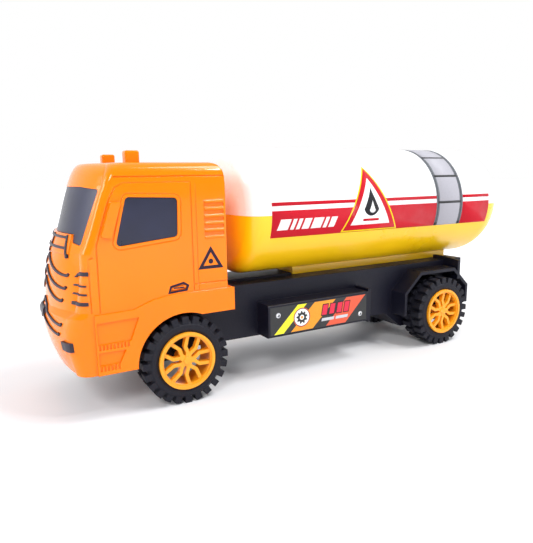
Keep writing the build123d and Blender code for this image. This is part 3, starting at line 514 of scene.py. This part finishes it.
def drop_loop(cx, base, height, width):
    """Plain pointed drop, round below."""
    loop = []
    radius = width / 2
    shoulder = radius * 0.66

    def half_width(t):
        """Half the drop's width at a share of the way up its pointed part."""
        return radius * 0.94 * (1 - t) ** 1.25

    for i in range(25):
        a = math.radians(200 + 140 * (i / 24))
        loop.append((cx + radius * math.cos(a), base + radius + radius * math.sin(a)))
    for i in range(1, 9):
        t = i / 9
        loop.append((cx + half_width(t), base + shoulder + (height - shoulder) * t))
    loop.append((cx, base + height))
    for i in range(8, 0, -1):
        t = i / 9
        loop.append((cx - half_width(t), base + shoulder + (height - shoulder) * t))
    return loop


def tank_graphics(right):
    """Side band, name-free slanted bars and the plain triangle on one side of the tank."""
    tag = side_name(right)
    for piece, x0, x1 in (("front", BAND_X0, LADDER_X0), ("rear", LADDER_X1, BAND_X1)):
        film_loop = rectangle(x0, x1, RED_LOW, THIN_HIGH)
        red_loop = rectangle(x0, x1, RED_LOW, RED_HIGH)
        line_loop = rectangle(x0, x1, THIN_LOW, THIN_HIGH)
        tank_print(f"band_film_{piece}_{tag}", [film_loop], LAYERS[0], "white", right)
        tank_print(f"band_red_{piece}_{tag}", [red_loop], LAYERS[1], "red", right)
        tank_print(f"band_line_{piece}_{tag}", [line_loop], LAYERS[1], "red", right)
    triangle = [(9.5, -21.0 * DEGREE_MM), (59.6, -21.0 * DEGREE_MM), (33.6, 43.0 * DEGREE_MM)]
    red = inset_triangle(triangle, 1.0)
    white = inset_triangle(triangle, 4.6)
    tank_print(f"triangle_edge_{tag}", [to_angle(triangle)], LAYERS[1] + 0.01, "yellow", right)
    tank_print(f"triangle_red_{tag}", [to_angle(red)], LAYERS[2], "red", right)
    tank_print(f"triangle_white_{tag}", [to_angle(white)], LAYERS[2] + 0.015, "white", right)
    symbol_x = 34.4
    symbol_layer = LAYERS[3] - 0.005
    drop = drop_loop(symbol_x, -4.8, 20.0, 14.0)
    glint = drop_loop(symbol_x + 0.8, -2.8, 8.6, 5.4)
    base = rectangle(symbol_x - 7, symbol_x + 7, -8.4, -6.6)
    tank_print(f"triangle_drop_{tag}", [to_angle(drop)], symbol_layer, "black", right)
    tank_print(f"triangle_glint_{tag}", [to_angle(glint)], LAYERS[3] + 0.012, "white", right)
    tank_print(f"triangle_base_{tag}", [to_angle(base)], symbol_layer, "red", right)
    bar_x = -41.0
    bar_gap, bar_lean = 1.6, 2.6
    for i, width in enumerate((9.5, 4.4, 4.4, 7.0, 9.5, 4.4, 6.4)):
        bar = slanted(bar_x, bar_x + width - bar_gap, -14.6, -5.2, bar_lean)
        tank_print(f"band_bar_{i}_{tag}", [bar], LAYERS[2], "white", right)
        bar_x += width
    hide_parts(f"tank_label_{tag}")


def ladder_graphics():
    """Grey walkway print over the top of the tank: rails, panels, rungs and feet."""
    low, high = -21.4, 201.4
    base = tank_print("ladder_film", [rectangle(LADDER_X0, LADDER_X1, low, high)], LAYERS[0], "grey")
    rail = 3.4
    for name, x0 in (("front", LADDER_X0), ("rear", LADDER_X1 - rail)):
        tank_print(f"ladder_rail_{name}", [rectangle(x0, x0 + rail, low, high)], LAYERS[1], "dark_grey")
        tank_print(f"ladder_line_{name}", [rectangle(x0 + 1.3, x0 + 1.9, low, high)], LAYERS[2], "charcoal")
    for i, angle in enumerate((2.6, 30.3, 56.5, 90.0, 123.5, 149.7, 177.4)):
        rung = rectangle(LADDER_X0 + rail * 0.6, LADDER_X1 - rail * 0.6, angle - 1.2, angle + 1.2)
        tank_print(f"ladder_rung_{i}", [rung], LAYERS[2], "charcoal")
    for i, x0 in enumerate((LADDER_X0 + 0.3, LADDER_X1 - rail + 0.3)):
        for j, angle in enumerate((low, high - 3.4)):
            foot = rectangle(x0, x0 + rail - 0.6, angle, angle + 3.4)
            tank_print(f"ladder_foot_{i}_{j}", [foot], LAYERS[3], "black")
    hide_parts("ladder_label")


for is_right in (False, True):
    tank_graphics(is_right)
ladder_graphics()


def cog_loop(cx, cy, inner, outer, teeth):
    """Plain cog outline."""
    loop = []
    for i in range(teeth):
        for share, radius in ((0.0, inner), (0.2, outer), (0.5, outer), (0.7, inner)):
            a = 2 * math.pi * (i + share) / teeth
            loop.append((cx + radius * math.cos(a), cy + radius * math.sin(a)))
    return loop


def box_graphics(right):
    """Slanted colour bands, a plain cog badge and two printed bolt heads on a side box."""
    tag = side_name(right)
    x0 = (LABEL_LOW[0] - MID_X) / MM
    x1 = (LABEL_HIGH[0] - MID_X) / MM
    z0, z1 = LABEL_LOW[2] / MM, LABEL_HIGH[2] / MM
    width, height = x1 - x0, z1 - z0
    plane = -LABEL_HIGH[1]

    def spot(u, v):
        """Place on the label from shares of its width and height."""
        return x0 + u * width, z0 + v * height

    def band(name, low_u0, low_u1, lean_u, colour, v0=0.02, v1=0.98):
        """Slanted band; lean_u is its shift over the full height."""
        a, b = spot(low_u0 + lean_u * v0, v0), spot(low_u1 + lean_u * v0, v0)
        c, d = spot(low_u1 + lean_u * v1, v1), spot(low_u0 + lean_u * v1, v1)
        side_print(f"{name}_{tag}", [[a, b, c, d]], plane, LAYERS[1], colour, right)

    base = side_print(f"box_film_{tag}", [rectangle(x0, x1, z0, z1)], plane, LAYERS[0], "charcoal", right)
    band("box_lime", 0.03, 0.12, 0.24, "lime")
    band("box_amber", 0.19, 0.41, 0.25, "amber")
    band("box_coral", 0.55, 0.76, 0.23, "coral")
    cx, cz = spot(0.305, 0.5)
    side_print(f"badge_ring_{tag}", [circle(cx, cz, 6.6)], plane, LAYERS[1] + 0.02, "coral", right)
    side_print(f"badge_line_{tag}", [circle(cx, cz, 6.2)], plane, LAYERS[2], "charcoal", right)
    side_print(f"badge_disc_{tag}", [circle(cx, cz, 5.8)], plane, LAYERS[2] + 0.02, "white", right)
    cog = [cog_loop(cx, cz, 3.3, 4.4, 9), circle(cx, cz, 1.7)]
    side_print(f"badge_cog_{tag}", cog, plane, LAYERS[3], "charcoal", right)
    side_print(f"badge_hub_{tag}", [circle(cx, cz, 0.95)], plane, LAYERS[3], "amber", right)
    for i in range(4):
        u = 0.50 + 0.078 * i
        left, low = spot(u, 0.42)
        end, high = spot(u + 0.066, 0.86)
        outer = slanted(left, end, low, high, 1.5)
        inner = slanted(left + 0.7, end - 0.5, low + 0.6, high - 0.6, 1.35)
        side_print(f"block_edge_{i}_{tag}", [outer], plane, LAYERS[2], "black", right)
        side_print(f"block_rose_{i}_{tag}", [inner], plane, LAYERS[2] + 0.02, "rose", right)
    for i in range(2):
        u = 0.505 + 0.15 * i
        bar = slanted(spot(u, 0)[0], spot(u + 0.13, 0)[0], z0 + 0.22 * height, z0 + 0.33 * height, 0.6)
        side_print(f"bar_silver_{i}_{tag}", [bar], plane, LAYERS[2], "silver", right)
    for i, (u, v) in enumerate(((0.075, 0.7), (0.93, 0.26))):
        bx, bz = spot(u, v)
        side_print(f"bolt_disc_{i}_{tag}", [circle(bx, bz, 1.7)], plane, LAYERS[2], "silver", right)
        shade = circle(bx + 0.35, bz - 0.3, 0.85)
        glint = circle(bx - 0.45, bz + 0.4, 0.7)
        side_print(f"bolt_shade_{i}_{tag}", [shade], plane, LAYERS[3], "dark_grey", right)
        side_print(f"bolt_glint_{i}_{tag}", [glint], plane, LAYERS[3], "white", right)
    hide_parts(f"box_label_{tag}")


for is_right in (False, True):
    box_graphics(is_right)


def cab_prints(right):
    """Plain printed triangle behind the door and the painted line round the door handle."""
    tag = side_name(right)
    triangle = [(-95.4, 78.2), (-79.4, 78.2), (-87.2, 91.4)]
    inner = inset_triangle(triangle, 1.9)
    handle = [(-114.0, 66.1), (-112.5, 70.6), (-104.4, 72.3), (-101.1, 70.0), (-102.5, 66.8)]
    hollow = [(-112.6, 67.3), (-111.6, 69.5), (-104.6, 71.0), (-102.5, 69.6), (-103.5, 67.9)]
    prints = (("side_triangle", [triangle, inner[::-1]]),
              ("side_mark", [circle(-87.3, 82.5, 1.5)]),
              ("handle_line", [handle, hollow[::-1]]),
              ("handle_slot", [rectangle(-110.6, -104.2, 68.7, 69.5)]))
    for name, loops in prints:
        side_print(f"{name}_{tag}", loops, CAB_SIDE_Y, LAYERS[0], "plum", right)


for is_right in (False, True):
    cab_prints(is_right)


# ---- floor --------------------------------------------------------------------------------------
def make_floor():
    """Large pale floor with a painted glow: it emits light, more the further it is from the truck, until it
    meets the white surround.
    """
    mat, nodes, links, bsdf = new_material("floor")
    coord = nodes.new("ShaderNodeTexCoord").outputs["Object"]
    cloud = noise(nodes, links, coord, 3.0)
    tint = ramp_between(nodes, links, cloud, (0.80, 0.805, 0.83, 1), (0.84, 0.843, 0.86, 1))
    links.new(tint, bsdf.inputs["Base Color"])
    bsdf.inputs["Roughness"].default_value = 0.5
    bsdf.inputs["Specular IOR Level"].default_value = 0.15
    # painted glow: emission strength is 0 within 0.24 m of the origin and rises to 0.75 at 0.8 m, which
    # brightens the far floor and lights the truck from below
    reach = nodes.new("ShaderNodeVectorMath")
    reach.operation = "LENGTH"
    links.new(coord, reach.inputs[0])
    painted_glow = nodes.new("ShaderNodeMapRange")
    painted_glow.interpolation_type = "SMOOTHSTEP"
    painted_glow.inputs["From Min"].default_value = 0.24
    painted_glow.inputs["From Max"].default_value = 0.8
    painted_glow.inputs["To Min"].default_value = 0.0
    painted_glow.inputs["To Max"].default_value = 0.75
    links.new(reach.outputs["Value"], painted_glow.inputs["Value"])
    bsdf.inputs["Emission Color"].default_value = (0.98, 0.98, 1.0, 1)
    links.new(painted_glow.outputs["Result"], bsdf.inputs["Emission Strength"])
    bm = bmesh.new()
    bmesh.ops.create_grid(bm, x_segments=2, y_segments=2, size=8.0)
    mesh = bpy.data.meshes.new("floor")
    bm.to_mesh(mesh)
    bm.free()
    floor = bpy.data.objects.new("floor", mesh)
    mesh.materials.append(mat)
    scene.collection.objects.link(floor)


make_floor()
